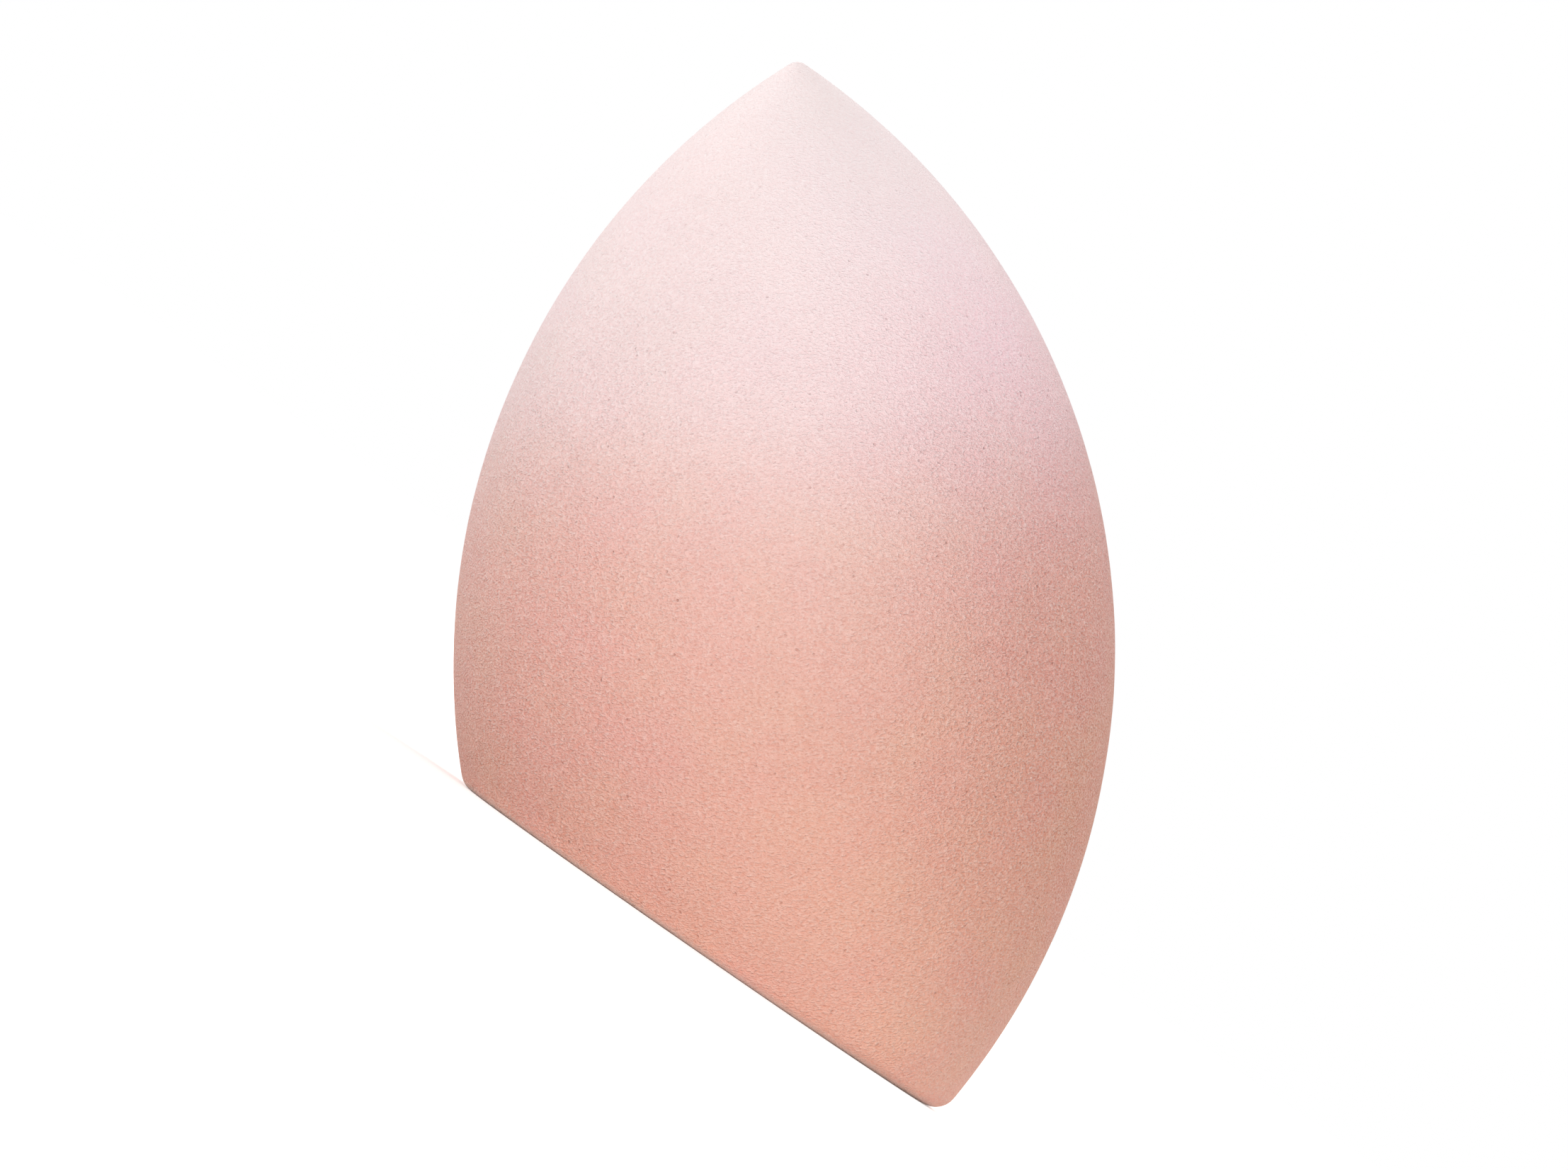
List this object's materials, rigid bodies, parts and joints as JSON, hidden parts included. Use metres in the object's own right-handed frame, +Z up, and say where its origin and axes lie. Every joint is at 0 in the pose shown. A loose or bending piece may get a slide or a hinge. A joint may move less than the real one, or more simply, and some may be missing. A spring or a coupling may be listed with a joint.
{
  "type": "makeup sponge",
  "caption": "Lemon-shaped makeup sponge of soft foam with a pointed tip and one slanted flat cut, for blending liquid and cream makeup.",
  "frame": {"origin": "on the flat cut, where the axis of the lemon shape meets it", "axes": "+Z up from the flat that the sponge stands on; the XZ plane is the sponge's mirror plane; the tip leans towards -X; +Y is across the body, its narrowest extent"},
  "size_m": [0.0475, 0.04, 0.0476],
  "materials": {
    "foam": "matte open-cell polyurethane foam, pale pink at the tip running to peach at the cut"
  },
  "bodies": {
    "root": {"foam_body": "foam"}
  },
  "joints": []
}
